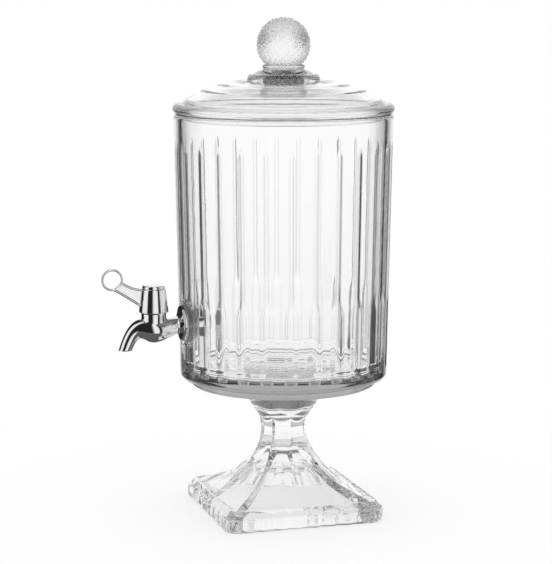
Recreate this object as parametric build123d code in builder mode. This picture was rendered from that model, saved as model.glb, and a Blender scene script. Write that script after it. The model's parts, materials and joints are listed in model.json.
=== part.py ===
from build123d import *
import os
from math import sqrt

# Footed glass drinks dispenser with a loose lid and a quarter-turn lever tap.
# Frame: +Z up, origin at the centre of the foot's underside, the tap pointing along -Y.
# All sizes are in millimetres.

# Tank: a slightly tapered tumbler with a stepped-in underside
tank_underside = 106.5
tank_disc_radius = 75.5
tank_disc_edge = 2.0
wall_bottom = 112.0
wall_bottom_radius = 83.9
wall_bottom_edge = 4.0
wall = 6.2
rim_height = 326.0
rim_radius = 88.3
rim_edge = 2.4
floor_height = 121.0
floor_fillet = 9.0

# Flutes: a narrow neck above, widening at a shoulder to a broad flute below
flute_count = 28
flute_tool_margin = 0.8

# Sections of one flute, from its rounded tip down: height, half width, depth
flute_sections = (
    (303.2, 0.5, 0.05),
    (299.0, 2.0, 0.8),
    (292.0, 2.7, 1.1),
    (186.0, 2.7, 1.1),
    (172.0, 6.7, 1.9),
    (111.0, 6.7, 1.9),
)

# Seat of the tap: a round unfluted patch, spot-faced outside and padded flat inside
tap_height = 159.5
patch_radius = 19.0
spot_face_radius = 15.4
spot_face = 82.8
pad_radius = 17.0
pad_face = 76.8
pad_root = 81.8
tap_hole_radius = 8.25

# Lid: a shallow dome with a rounded rim, a locating skirt and a raised collar for the knob
lid_rim_radius = 89.2
lid_rim_top = 333.8
lid_rim_root = 81.6
lid_dome_foot_radius = 80.0
lid_dome_foot_height = 336.2
lid_top_height = 350.8
lid_top_radius = 43.0
lid_dome_mid_radius = 66.7
lid_dome_mid_height = 344.3
lid_thickness = 5.4
lid_inside_height = 332.8
lid_under_mid_radius = 64.2
lid_skirt_radius = 80.4
lid_skirt_inner_radius = 76.8
lid_skirt_bottom = 321.0
collar_seat_radius = 33.0
collar_seat_height = 349.0
lid_collar_radius = 29.2
lid_collar_shoulder = 357.3
lid_collar_top = 360.6
lid_collar_mouth_radius = 18.2
lid_boss_radius = 19.2
lid_boss_bottom = 340.6

# Knob: ball, neck ring and round stem, bonded into the lid's collar
knob_stem_radius = 17.0
knob_stem_bottom = 344.0
knob_stem_top = 360.8
knob_stem_clearance = 0.1
knob_bond_thickness = 0.2
knob_ring_radius = 17.0
knob_ring_bottom = 361.2
knob_ring_top = 364.8
ball_radius = 22.0
ball_centre = 380.5

# Foot: wavy square edge, sloped shoulder, pyramid, eight-sided stem, round collar
foot_half = 67.0
wave_rise = 0.7
waves_per_side = 8
wave_pitch = 14.4
corner_crest_radius = 88.8
foot_edge_height = 12.0
shoulder_bottom = 11.0
shoulder_height = 17.0
shoulder_stand_back = 1.2
shoulder_inset = 4.7
shoulder_corner_radius = 9.0
collar_radius = 37.5
collar_edge = 1.6
collar_cone_bottom = 74.0
collar_cone_bottom_radius = 16.4
pedestal_bond_thickness = 0.2

# Rounding of the wavy edge: height, how far it stands back from the full size
foot_edge_sections = ((0.0, 2.6), (0.8, 1.6), (3.0, 0.5), (6.5, 0.0), (10.0, 0.2), (foot_edge_height, 1.0))

# Outside of the pyramid and stem: height, radius at a side's middle, radius at a corner
stem_sections = (
    (15.5, 61.0, 79.5),
    (20.0, 54.0, 68.0),
    (26.0, 46.0, 53.0),
    (33.0, 39.5, 42.5),
    (42.0, 30.2, 31.2),
    (52.0, 23.4, 23.9),
    (61.0, 20.0, 20.2),
    (69.0, 19.0, 19.0),
    (77.0, 19.9, 19.9),
    (85.0, 21.6, 21.6),
)

# Hollow under the foot, in the same form
hollow_sections = (
    (-1.0, 57.5, 75.0),
    (6.0, 53.0, 67.0),
    (15.0, 41.5, 48.5),
    (24.0, 32.5, 35.5),
    (34.0, 23.8, 24.6),
    (43.0, 16.0, 16.2),
    (49.0, 9.0, 9.0),
)

# Tap: distances out from the tank's axis along -Y, and heights
valve_reach = 108.1
gasket_thickness = 1.1
gasket_radius = 13.8
flange_radius = 14.5
flange_edge = 2.4
flange_edge_round = 1.7
flange_dome = 4.4
flange_dome_radius = 7.6
flange_dome_round = 2.4
shank_radius = 8.0
shank_end = 61.5
thread_pitch = 1.5
thread_depth = 0.7
thread_count = 7
shank_bore_radius = 5.0
inner_gasket_radius = 15.8
inner_gasket_thickness = 2.8
shank_washer_radius = 14.8
shank_washer_thickness = 1.2
ring_clearance = 0.3
nut_thickness = 8.0
nut_across_flats = 25.0
nut_clearance = 0.06

# Run of the body from the flange past the chamber: reach, height, half width, half height
body_sections = (
    (87.0, 158.3, 7.0, 7.0),
    (93.3, 156.9, 8.0, 7.4),
    (99.0, 155.7, 10.4, 8.5),
    (105.5, 155.0, 12.8, 9.7),
    (111.0, 155.3, 12.4, 9.5),
    (117.0, 156.2, 9.6, 8.4),
)
waterway_start_reach = 82.9
waterway_start_height = 159.2
waterway_radius = 4.2
chamber_radius = 10.0
chamber_bottom = 145.0
chamber_bowl_radius = 7.5
chamber_bowl_height = 147.7
chamber_dome_top = 152.5
neck_top = 168.8
spigot_radius = 9.0
spigot_top = 172.5

# Spout: a run out of the chamber, a bend and a straight drop, with its radii along the way
spout_run, spout_height, spout_root_half_width, spout_root_half_height = body_sections[-1]
spout_bend_radius = 11.0
spout_bend_angle = 66.6
spout_drop = 14.5
spout_mouth = 139.4
spout_mid_radius = 6.7
spout_bend_end_radius = 5.7
spout_tip_radius = 5.2
spout_bore_radius = 3.9

# Valve plug and what holds it down
plug_bore_bottom = 149.4
plug_bore_bottom_radius = 5.8
plug_bore_top = 162.4
plug_bore_top_radius = 7.0
plug_bottom = 150.0
plug_top = 162.8
plug_clearance = 0.04
port_radius = 3.9
groove_height = 161.2
groove_width = 1.9
groove_clearance = 0.05
o_ring_section = 0.8
o_ring_radius = 6.0
stem_radius = 4.0
square_bottom = 177.0
square_top = 183.4
square_width = 5.4
gland_bore = 7.8
thrust_washer_bottom = 162.86
thrust_washer_thickness = 0.8
thrust_washer_radius = 7.5
spring_bottom = 163.7
spring_thickness = 0.6
spring_rise = 0.9
gland_bottom = 165.4
gland_thread_radius = 7.74
gland_head_top = 175.6
gland_across_flats = 14.5
stem_clearance = 0.1

# Handle: tapered hub, web lever with beaded edges, finger ring
hub_bottom = 169.4
hub_top = 188.5
hub_bottom_radius = 11.9
hub_top_radius = 9.7
hub_edge = 1.0
hub_bottom_edge = 0.6
hub_cavity_radius = 10.1
hub_ceiling = 177.2
screw_seat = 184.0
screw_recess_radius = 4.4
stop_radius = 9.8
stop_root_radius = 8.8
stop_free_angle = 98.5
lug_half_angle = 8.0
lug_inner_radius = 9.3
lug_outer_radius = 10.5
lug_bottom = 169.6
lug_top = 172.2
web_thickness = 1.7
bead_radius = 1.1
ring_reach = 141.6
ring_height = 196.6
ring_radius = 7.9
ring_wire_radius = 0.95

# Upper and lower edges of the lever, each an arc through three points: reach and height
lever_upper = ((114.5, 187.2), (124.5, 188.9), (134.4, 194.0))
lever_lower = ((114.5, 171.9), (127.5, 180.9), (140.2, 188.8))

# Small pieces on top of the plug
screw_radius = 1.5
screw_depth = 7.0
screw_tip_gap = 1.0
screw_head_radius = 2.9
screw_head_height = 2.0
screw_slot_width = 0.8
screw_slot_depth = 0.8
screw_washer_radius = 4.2
screw_washer_thickness = 0.6
button_radius = 9.0
button_height = 2.5
button_edge = 1.1
button_spigot_radius = 4.3
button_spigot_bottom = 187.2
button_gap = 0.05

# Values worked out from the ones above
wall_taper = (rim_radius - wall_bottom_radius) / (rim_height - wall_bottom)
flange_face = spot_face + gasket_thickness
inner_gasket_face = pad_face - inner_gasket_thickness
washer_face = inner_gasket_face - shank_washer_thickness
tap_axis = Axis((0, 0, tap_height), (0, 1, 0))
valve_axis = Axis((0, -valve_reach, 0), (0, 0, 1))
valve_plane = Plane.XZ.offset(valve_reach)


def wall_radius(height):
    """Outside radius of the tank's wall at a height."""
    return wall_bottom_radius + wall_taper * (height - wall_bottom)


def eight_sided(middle, corner):
    """The eight corners of a section of the foot, starting at the middle of a side."""
    points = []
    for step in range(8):
        radius = corner if step % 2 else middle
        points.append(Vector(radius, 0, 0).rotate(Axis.Z, 45 * step))
    return points


def across_tap(reach):
    """Upright plane square to the tap's shank, at a distance from the tank's axis."""
    return Plane(origin=(0, -reach, tap_height), x_dir=(1, 0, 0), z_dir=(0, 1, 0))


def wavy_square(stand_back):
    """Draw the foot's edge: a gentle wave along each side and a rounded block at each corner."""
    size = 1 - stand_back / foot_half
    level = foot_half - wave_rise / 2
    half_wave = wave_pitch / 2
    side_end = (waves_per_side - 0.5) * half_wave
    corner = corner_crest_radius / sqrt(2)
    arcs = []
    for step in range(2 * waves_per_side - 1):
        along = half_wave * step - side_end
        crest = level - wave_rise / 2 if step % 2 else foot_half
        arcs.append(((level, along), (crest, along + half_wave / 2), (level, along + half_wave)))
    arcs.append(((level, side_end), (corner, corner), (side_end, level)))
    for turn in range(4):
        for arc in arcs:
            ThreePointArc(*[size * Vector(*point).rotate(Axis.Z, 90 * turn) for point in arc])


# Foot
with BuildPart() as pedestal:
    # Wavy edge, rounded above and below
    for height, stand_back in foot_edge_sections:
        with BuildSketch(Plane.XY.offset(height)):
            with BuildLine():
                wavy_square(stand_back)
            make_face()
    loft(ruled=True)

    # Sloped shoulder above the wavy edge
    shoulder_width = 2 * (foot_half - shoulder_stand_back)
    shoulder_top_width = shoulder_width - 2 * shoulder_inset
    with BuildSketch(Plane.XY.offset(shoulder_bottom)):
        RectangleRounded(shoulder_width, shoulder_width, shoulder_corner_radius)
    with BuildSketch(Plane.XY.offset(shoulder_height)):
        RectangleRounded(shoulder_top_width, shoulder_top_width, shoulder_corner_radius)
    loft(ruled=True)

    # Pyramid drawn in to the eight-sided stem
    for height, middle, corner in stem_sections:
        with BuildSketch(Plane.XY.offset(height)):
            with BuildLine():
                Polyline(*eight_sided(middle, corner), close=True)
            make_face()
    loft()

    # Round collar that carries the tank
    collar_top = tank_underside - pedestal_bond_thickness
    with BuildSketch(Plane.XZ):
        with BuildLine():
            FilletPolyline(
                (0, collar_cone_bottom),
                (collar_cone_bottom_radius, collar_cone_bottom),
                (collar_radius, collar_top - collar_edge),
                (collar_radius, collar_top),
                (0, collar_top),
                radius=(0, 0, collar_edge, 0, 0),
                close=True,
            )
        make_face()
    revolve(axis=Axis.Z)

    # Hollow underneath
    for height, middle, corner in hollow_sections:
        with BuildSketch(Plane.XY.offset(height)):
            with BuildLine():
                Polyline(*eight_sided(middle, corner), close=True)
            make_face()
    loft(mode=Mode.SUBTRACT)

with BuildPart(Plane.XY.offset(collar_top)) as pedestal_bond:
    Cylinder(collar_radius - collar_edge, pedestal_bond_thickness, align=(Align.CENTER, Align.CENTER, Align.MIN))


# Tank
def flute_outline(height, half_width, depth):
    """Arc across one flute and the closing line outside the wall, looking down on +X."""
    surface = wall_radius(height)
    arc_radius = (half_width**2 + depth**2) / (2 * depth)
    outside = surface + flute_tool_margin
    half_opening = sqrt(arc_radius**2 - (arc_radius - depth - flute_tool_margin) ** 2)
    return (outside, -half_opening), (surface - depth, 0), (outside, half_opening)


with BuildPart() as flute_tool:
    for height, half_width, depth in flute_sections:
        with BuildSketch(Plane.XY.offset(height)):
            with BuildLine():
                edge = ThreePointArc(*flute_outline(height, half_width, depth))
                Line(edge @ 1, edge @ 0)
            make_face()
    loft(ruled=True)

with BuildPart() as tank_blank:
    with BuildSketch(Plane.XZ):
        with BuildLine():
            FilletPolyline(
                (0, tank_underside),
                (tank_disc_radius, tank_underside),
                (tank_disc_radius, wall_bottom),
                (wall_bottom_radius, wall_bottom),
                (rim_radius, rim_height),
                (rim_radius - wall, rim_height),
                (wall_radius(floor_height) - wall, floor_height),
                (0, floor_height),
                radius=(0, tank_disc_edge, 0, wall_bottom_edge, rim_edge, rim_edge, floor_fillet, 0),
                close=True,
            )
        make_face()
    revolve(axis=Axis.Z)

with BuildPart() as tap_patch:
    with BuildSketch(across_tap(rim_radius)):
        Circle(patch_radius)
    extrude(amount=rim_radius - pad_face)
    add(tank_blank.part, mode=Mode.INTERSECT)

with BuildPart() as tank:
    add(tank_blank.part)
    with PolarLocations(0, flute_count):
        add(flute_tool.part, mode=Mode.SUBTRACT)
    add(tap_patch.part)

    # Spot face outside, flat pad inside and the hole for the tap's shank
    with BuildSketch(across_tap(spot_face)):
        Circle(spot_face_radius)
    extrude(amount=-(rim_radius - spot_face), mode=Mode.SUBTRACT)
    with BuildSketch(across_tap(pad_root)):
        Circle(pad_radius)
    extrude(amount=pad_root - pad_face)
    with BuildSketch(across_tap(spot_face)):
        Circle(tap_hole_radius)
    extrude(amount=spot_face - pad_face, mode=Mode.SUBTRACT)

# Lid
with BuildPart() as lid:
    with BuildSketch(Plane.XZ):
        with BuildLine():
            top = Line((0, lid_top_height), (lid_top_radius, lid_top_height))
            dome = TangentArc(top @ 1, (lid_dome_mid_radius, lid_dome_mid_height), tangent=(1, 0))
            slope = Line(dome @ 1, (lid_dome_foot_radius, lid_dome_foot_height))
            step = Line(slope @ 1, (lid_rim_root, lid_rim_top))
            rim_half = (lid_rim_top - rim_height) / 2
            rim_centre = lid_rim_radius - rim_half
            rim_upper = Line(step @ 1, (rim_centre, lid_rim_top))
            rim_round = ThreePointArc(
                rim_upper @ 1,
                (lid_rim_radius, rim_height + rim_half),
                (rim_centre, rim_height),
            )
            rest = Line(rim_round @ 1, (lid_skirt_radius, rim_height))
            skirt = Line(rest @ 1, (lid_skirt_radius, lid_skirt_bottom))
            skirt_end = Line(skirt @ 1, (lid_skirt_inner_radius, lid_skirt_bottom))
            inside = Line(skirt_end @ 1, (lid_skirt_inner_radius, lid_inside_height))
            under_slope = Line(inside @ 1, (lid_under_mid_radius, lid_dome_mid_height - lid_thickness))
            under_top = lid_top_height - lid_thickness
            under = Line((0, under_top), (lid_top_radius, under_top))
            TangentArc(under @ 1, under_slope @ 1, tangent=(1, 0))
            Line(under @ 0, top @ 0)
        make_face()
    revolve(axis=Axis.Z)

    # Boss below and a dished seat above
    with BuildSketch(Plane.XY.offset(lid_boss_bottom)):
        Circle(lid_boss_radius)
    extrude(amount=under_top - lid_boss_bottom)
    with BuildSketch(Plane.XZ):
        with BuildLine():
            Polyline(
                (0, collar_seat_height),
                (collar_seat_radius, collar_seat_height),
                (lid_top_radius, lid_top_height),
                (0, lid_top_height),
                close=True,
            )
        make_face()
    revolve(axis=Axis.Z, mode=Mode.SUBTRACT)

    # Raised collar with a rounded edge, and the socket down through it
    collar_half = (lid_collar_shoulder - collar_seat_height) / 2
    collar_centre = lid_collar_radius - collar_half
    with BuildSketch(Plane.XZ):
        with BuildLine():
            collar_round = ThreePointArc(
                (collar_centre, collar_seat_height),
                (lid_collar_radius, collar_seat_height + collar_half),
                (collar_centre, lid_collar_shoulder),
            )
            Polyline(
                collar_round @ 1,
                (lid_collar_mouth_radius, lid_collar_top),
                (0, lid_collar_top),
                (0, under_top),
                (collar_centre, under_top),
                collar_round @ 0,
            )
        make_face()
    revolve(axis=Axis.Z)
    with BuildSketch(Plane.XY.offset(knob_stem_bottom - knob_bond_thickness)):
        Circle(knob_stem_radius + knob_stem_clearance)
    extrude(amount=lid_collar_top - knob_stem_bottom + knob_bond_thickness, mode=Mode.SUBTRACT)

with BuildPart(Plane.XY.offset(knob_stem_bottom - knob_bond_thickness)) as knob_bond:
    Cylinder(knob_stem_radius, knob_bond_thickness, align=(Align.CENTER, Align.CENTER, Align.MIN))

# Knob
with BuildPart() as lid_knob:
    ring_half = (knob_ring_top - knob_ring_bottom) / 2
    ball_cut = sqrt(ball_radius**2 - (ball_centre - knob_ring_top) ** 2)
    with BuildSketch(Plane.XZ):
        with BuildLine():
            stem = Polyline(
                (0, knob_stem_bottom),
                (knob_stem_radius, knob_stem_bottom),
                (knob_stem_radius, knob_stem_top),
                (knob_ring_radius - ring_half, knob_ring_bottom),
            )
            ring = ThreePointArc(
                stem @ 1,
                (knob_ring_radius, knob_ring_bottom + ring_half),
                (ball_cut, knob_ring_top),
            )
            ball = ThreePointArc(ring @ 1, (ball_radius, ball_centre), (0, ball_centre + ball_radius))
            Line(ball @ 1, stem @ 0)
        make_face()
    revolve(axis=Axis.Z)


# Tap fixing: gaskets, washer and nut on the shank
def shank_ring(outer_radius, inner_radius, far_reach, near_reach):
    """Flat ring on the tap's shank between two distances from the tank's axis."""
    with BuildPart() as ring_piece:
        with BuildSketch(across_tap(far_reach)):
            Circle(outer_radius)
            Circle(inner_radius, mode=Mode.SUBTRACT)
        extrude(amount=far_reach - near_reach)
    return ring_piece


ring_bore = shank_radius + ring_clearance
outer_gasket = shank_ring(gasket_radius, ring_bore, flange_face, spot_face)
inner_gasket = shank_ring(inner_gasket_radius, ring_bore, pad_face, inner_gasket_face)
shank_washer = shank_ring(shank_washer_radius, ring_bore, inner_gasket_face, washer_face)

with BuildPart() as lock_nut:
    with BuildSketch(across_tap(washer_face)):
        RegularPolygon(nut_across_flats / 2, 6, major_radius=False)
        Circle(shank_radius + nut_clearance, mode=Mode.SUBTRACT)
    extrude(amount=nut_thickness)

# Tap body
with BuildPart() as tap_body:
    # Shank with a ridged thread at its inner end
    with BuildSketch(Plane.YZ):
        with BuildLine():
            root = tap_height + shank_radius - thread_depth
            crest = tap_height + shank_radius
            thread = [(-shank_end, tap_height), (-shank_end, root)]
            for turn in range(thread_count):
                reach = shank_end + thread_pitch * turn
                thread.append((-(reach + thread_pitch / 2), crest))
                thread.append((-(reach + thread_pitch), root))
            thread_start = shank_end + thread_pitch * (thread_count + 0.5)
            thread += [(-thread_start, crest), (-flange_face, crest), (-flange_face, tap_height)]
            Polyline(*thread, close=True)
        make_face()
    revolve(axis=tap_axis)

    # Flange with a rounded edge and a domed front
    with BuildSketch(Plane.YZ):
        with BuildLine():
            FilletPolyline(
                (-flange_face, tap_height),
                (-flange_face, tap_height + flange_radius),
                (-(flange_face + flange_edge), tap_height + flange_radius),
                (-(flange_face + flange_dome), tap_height + flange_dome_radius),
                (-(flange_face + flange_dome), tap_height),
                radius=(0, 0, flange_edge_round, flange_dome_round, 0),
                close=True,
            )
        make_face()
    revolve(axis=tap_axis)

    # Upright valve chamber, neck and spigot
    with BuildSketch(valve_plane):
        with BuildLine():
            bowl = ThreePointArc(
                (0, chamber_bottom),
                (chamber_bowl_radius, chamber_bowl_height),
                (chamber_radius, chamber_dome_top),
            )
            Polyline(
                bowl @ 1,
                (chamber_radius, neck_top),
                (spigot_radius, neck_top),
                (spigot_radius, spigot_top),
                (0, spigot_top),
                bowl @ 0,
            )
        make_face()
    revolve(axis=valve_axis)

    # Run from the flange past the chamber
    for reach, height, half_width, half_height in body_sections:
        with BuildSketch(Plane(origin=(0, -reach, height), x_dir=(1, 0, 0), z_dir=(0, -1, 0))):
            Ellipse(half_width, half_height)
    loft()

    # Spout, lofted along its bend and cut level at the mouth
    with BuildLine(Plane.YZ) as spout_path:
        run = Line((-valve_reach, spout_height), (-spout_run, spout_height))
        bend = JernArc(run @ 1, run % 1, spout_bend_radius, spout_bend_angle)
        drop = Line(bend @ 1, bend @ 1 + spout_drop * (bend % 1))
    spout_stations = (
        (run, 1, spout_root_half_width, spout_root_half_height),
        (bend, 0.5, spout_mid_radius, spout_mid_radius),
        (drop, 0, spout_bend_end_radius, spout_bend_end_radius),
        (drop, 1, spout_tip_radius, spout_tip_radius),
    )
    for line, place, half_width, half_height in spout_stations:
        with BuildSketch(Plane(origin=line @ place, x_dir=(1, 0, 0), z_dir=line % place)):
            Ellipse(half_width, half_height)
    loft()
    split(bisect_by=Plane.XY.offset(spout_mouth), keep=Keep.TOP)

    # Waterway: along the shank, down to the chamber and out along the spout
    with BuildSketch(across_tap(flange_face)):
        Circle(shank_bore_radius)
    extrude(amount=flange_face - shank_end, mode=Mode.SUBTRACT)
    slant_start = Vector(0, -waterway_start_reach, waterway_start_height)
    slant_end = Vector(0, -valve_reach, spout_height)
    slant = slant_end - slant_start
    with BuildSketch(Plane(origin=slant_start, x_dir=(1, 0, 0), z_dir=slant)):
        Circle(waterway_radius)
    extrude(amount=slant.length, mode=Mode.SUBTRACT)
    with BuildSketch(Plane(origin=run @ 0, x_dir=(1, 0, 0), z_dir=run % 0)):
        Circle(spout_bore_radius)
    sweep(path=spout_path.wire(), mode=Mode.SUBTRACT)

    # Tapered plug bore and the gland's bore above it
    with BuildSketch(valve_plane):
        with BuildLine():
            Polyline(
                (0, plug_bore_bottom),
                (plug_bore_bottom_radius, plug_bore_bottom),
                (plug_bore_top_radius, plug_bore_top),
                (gland_bore, plug_bore_top),
                (gland_bore, spigot_top),
                (0, spigot_top),
                close=True,
            )
        make_face()
    revolve(axis=valve_axis, mode=Mode.SUBTRACT)

    # Stop around the back of the spigot, which ends the lever's turn on both sides
    with BuildSketch(Plane.XY.offset(neck_top)):
        with BuildLine():
            stop_start = stop_free_angle - 90
            stop_turn = 360 - 2 * stop_free_angle
            outer = CenterArc((0, -valve_reach), stop_radius, stop_start, stop_turn)
            inner = CenterArc((0, -valve_reach), stop_root_radius, stop_start, stop_turn)
            Line(outer @ 0, inner @ 0)
            Line(outer @ 1, inner @ 1)
        make_face()
    extrude(amount=spigot_top - neck_top)

# Valve plug: taper, cross port, seal groove, stem and square
with BuildPart() as valve_plug:
    bore_slope = (plug_bore_top_radius - plug_bore_bottom_radius) / (plug_bore_top - plug_bore_bottom)
    groove_bottom = o_ring_radius - o_ring_section - groove_clearance

    def plug_radius(height):
        """Radius of the plug's taper, a running clearance inside the bore."""
        return plug_bore_bottom_radius + bore_slope * (height - plug_bore_bottom) - plug_clearance

    groove_low = groove_height - groove_width / 2
    groove_high = groove_height + groove_width / 2
    with BuildSketch(valve_plane):
        with BuildLine():
            Polyline(
                (0, plug_bottom),
                (plug_radius(plug_bottom), plug_bottom),
                (plug_radius(groove_low), groove_low),
                (groove_bottom, groove_low),
                (groove_bottom, groove_high),
                (plug_radius(groove_high), groove_high),
                (plug_radius(plug_bore_top), plug_bore_top),
                (plug_radius(plug_bore_top), plug_top),
                (stem_radius, plug_top),
                (stem_radius, square_bottom),
                (0, square_bottom),
                close=True,
            )
        make_face()
    revolve(axis=valve_axis)
    with BuildSketch(Plane.XY.offset(square_bottom)):
        with Locations((0, -valve_reach)):
            Rectangle(square_width, square_width)
    extrude(amount=square_top - square_bottom)
    with BuildSketch(Plane.XY.offset(square_top)):
        with Locations((0, -valve_reach)):
            Circle(screw_radius)
    extrude(amount=-screw_depth, mode=Mode.SUBTRACT)
    with BuildSketch(Plane.YZ):
        with Locations((-valve_reach, spout_height)):
            Circle(port_radius)
    extrude(amount=chamber_radius, both=True, mode=Mode.SUBTRACT)

with BuildPart() as plug_o_ring:
    with BuildSketch(valve_plane):
        with Locations((o_ring_radius, groove_height)):
            Circle(o_ring_section)
    revolve(axis=valve_axis)

with BuildPart() as thrust_washer:
    with BuildSketch(Plane.XY.offset(thrust_washer_bottom)):
        with Locations((0, -valve_reach)):
            Circle(thrust_washer_radius)
            Circle(stem_radius + 2 * stem_clearance, mode=Mode.SUBTRACT)
    extrude(amount=thrust_washer_thickness)

with BuildPart() as disc_spring:
    with BuildSketch(valve_plane):
        with BuildLine():
            spring_inner = stem_radius + 3 * stem_clearance
            Polyline(
                (thrust_washer_radius, spring_bottom),
                (thrust_washer_radius, spring_bottom + spring_thickness),
                (spring_inner, spring_bottom + spring_rise + spring_thickness),
                (spring_inner, spring_bottom + spring_rise),
                close=True,
            )
        make_face()
    revolve(axis=valve_axis)

with BuildPart() as gland_nut:
    with BuildSketch(Plane.XY.offset(gland_bottom)):
        with Locations((0, -valve_reach)):
            Circle(gland_thread_radius)
    extrude(amount=spigot_top - gland_bottom)
    with BuildSketch(Plane.XY.offset(spigot_top)):
        with Locations((0, -valve_reach)):
            RegularPolygon(gland_across_flats / 2, 6, major_radius=False)
    extrude(amount=gland_head_top - spigot_top)
    with BuildSketch(Plane.XY.offset(gland_bottom)):
        with Locations((0, -valve_reach)):
            Circle(stem_radius + stem_clearance)
    extrude(amount=gland_head_top - gland_bottom, mode=Mode.SUBTRACT)

# Handle
with BuildPart() as tap_handle:
    # Tapered hub, hollow below to cover the gland, recessed above for the screw
    with BuildSketch(valve_plane):
        with BuildLine():
            FilletPolyline(
                (hub_cavity_radius, hub_bottom),
                (hub_bottom_radius, hub_bottom),
                (hub_top_radius, hub_top),
                (screw_recess_radius, hub_top),
                (screw_recess_radius, screw_seat),
                (0, screw_seat),
                (0, hub_ceiling),
                (hub_cavity_radius, hub_ceiling),
                radius=(0, hub_bottom_edge, hub_edge, 0, 0, 0, 0, hub_edge),
                close=True,
            )
        make_face()
    revolve(axis=valve_axis)

    # Lug inside the skirt that meets the stop
    with BuildSketch(Plane.XY.offset(lug_bottom)):
        with BuildLine():
            lug_start = -90 - lug_half_angle
            lug_outer = CenterArc((0, -valve_reach), lug_outer_radius, lug_start, 2 * lug_half_angle)
            lug_inner = CenterArc((0, -valve_reach), lug_inner_radius, lug_start, 2 * lug_half_angle)
            Line(lug_outer @ 0, lug_inner @ 0)
            Line(lug_outer @ 1, lug_inner @ 1)
        make_face()
    extrude(amount=lug_top - lug_bottom)

    # Web of the lever between its two curved edges
    with BuildSketch(Plane.YZ):
        with BuildLine():
            upper = ThreePointArc(*[(-reach, height) for reach, height in lever_upper])
            lower = ThreePointArc(*[(-reach, height) for reach, height in lever_lower])
            Line(upper @ 0, lower @ 0)
            Line(upper @ 1, lower @ 1)
        make_face()
    extrude(amount=web_thickness / 2, both=True)

    # Beads along both edges
    for points in (lever_upper, lever_lower):
        with BuildLine(Plane.YZ) as bead_path:
            bead = ThreePointArc(*[(-reach, height) for reach, height in points])
        with BuildSketch(Plane(origin=bead @ 0, x_dir=(1, 0, 0), z_dir=bead % 0)):
            Circle(bead_radius)
        sweep(path=bead_path.wire())

    # Finger ring
    with Locations(Location((0, -ring_reach, ring_height), (0, 90, 0))):
        Torus(ring_radius, ring_wire_radius)

    # Clear the hollow of the lever's root, then cut the square hole
    with BuildSketch(Plane.XY.offset(hub_bottom)):
        with Locations((0, -valve_reach)):
            Circle(lug_inner_radius)
    extrude(amount=hub_ceiling - hub_bottom, mode=Mode.SUBTRACT)
    with BuildSketch(Plane.XY.offset(hub_ceiling)):
        with Locations((0, -valve_reach)):
            Rectangle(square_width + stem_clearance, square_width + stem_clearance)
    extrude(amount=screw_seat - hub_ceiling, mode=Mode.SUBTRACT)

# Screw, washer and cap on top of the hub
with BuildPart() as screw_washer:
    with BuildSketch(Plane.XY.offset(screw_seat)):
        with Locations((0, -valve_reach)):
            Circle(screw_washer_radius)
            Circle(screw_radius + stem_clearance, mode=Mode.SUBTRACT)
    extrude(amount=screw_washer_thickness)

head_bottom = screw_seat + screw_washer_thickness
with BuildPart() as handle_screw:
    with BuildSketch(Plane.XY.offset(head_bottom)):
        with Locations((0, -valve_reach)):
            Circle(screw_head_radius)
    extrude(amount=screw_head_height)
    with BuildSketch(Plane.XY.offset(head_bottom + screw_head_height)):
        with Locations((0, -valve_reach)):
            Rectangle(3 * screw_head_radius, screw_slot_width)
    extrude(amount=-screw_slot_depth, mode=Mode.SUBTRACT)
    with BuildSketch(Plane.XY.offset(head_bottom)):
        with Locations((0, -valve_reach)):
            Circle(screw_radius)
    extrude(amount=-(head_bottom - square_top + screw_depth - screw_tip_gap))

with BuildPart() as handle_button:
    button_bottom = hub_top + button_gap
    with BuildSketch(valve_plane):
        with BuildLine():
            FilletPolyline(
                (0, button_spigot_bottom),
                (button_spigot_radius, button_spigot_bottom),
                (button_spigot_radius, button_bottom),
                (button_radius, button_bottom),
                (button_radius, button_bottom + button_height),
                (0, button_bottom + button_height),
                radius=(0, 0, 0, 0, button_edge, 0),
                close=True,
            )
        make_face()
    revolve(axis=valve_axis)

# One file for each piece
pieces = {
    "pedestal": pedestal,
    "pedestal_bond": pedestal_bond,
    "tank": tank,
    "lid": lid,
    "knob_bond": knob_bond,
    "lid_knob": lid_knob,
    "outer_gasket": outer_gasket,
    "inner_gasket": inner_gasket,
    "shank_washer": shank_washer,
    "lock_nut": lock_nut,
    "tap_body": tap_body,
    "valve_plug": valve_plug,
    "plug_o_ring": plug_o_ring,
    "thrust_washer": thrust_washer,
    "disc_spring": disc_spring,
    "gland_nut": gland_nut,
    "tap_handle": tap_handle,
    "screw_washer": screw_washer,
    "handle_screw": handle_screw,
    "handle_button": handle_button,
}
os.makedirs("parts", exist_ok=True)
for name, piece in pieces.items():
    piece.part.label = name
    export_step(piece.part, f"parts/{name}.step")
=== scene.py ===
import json
import math

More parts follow.
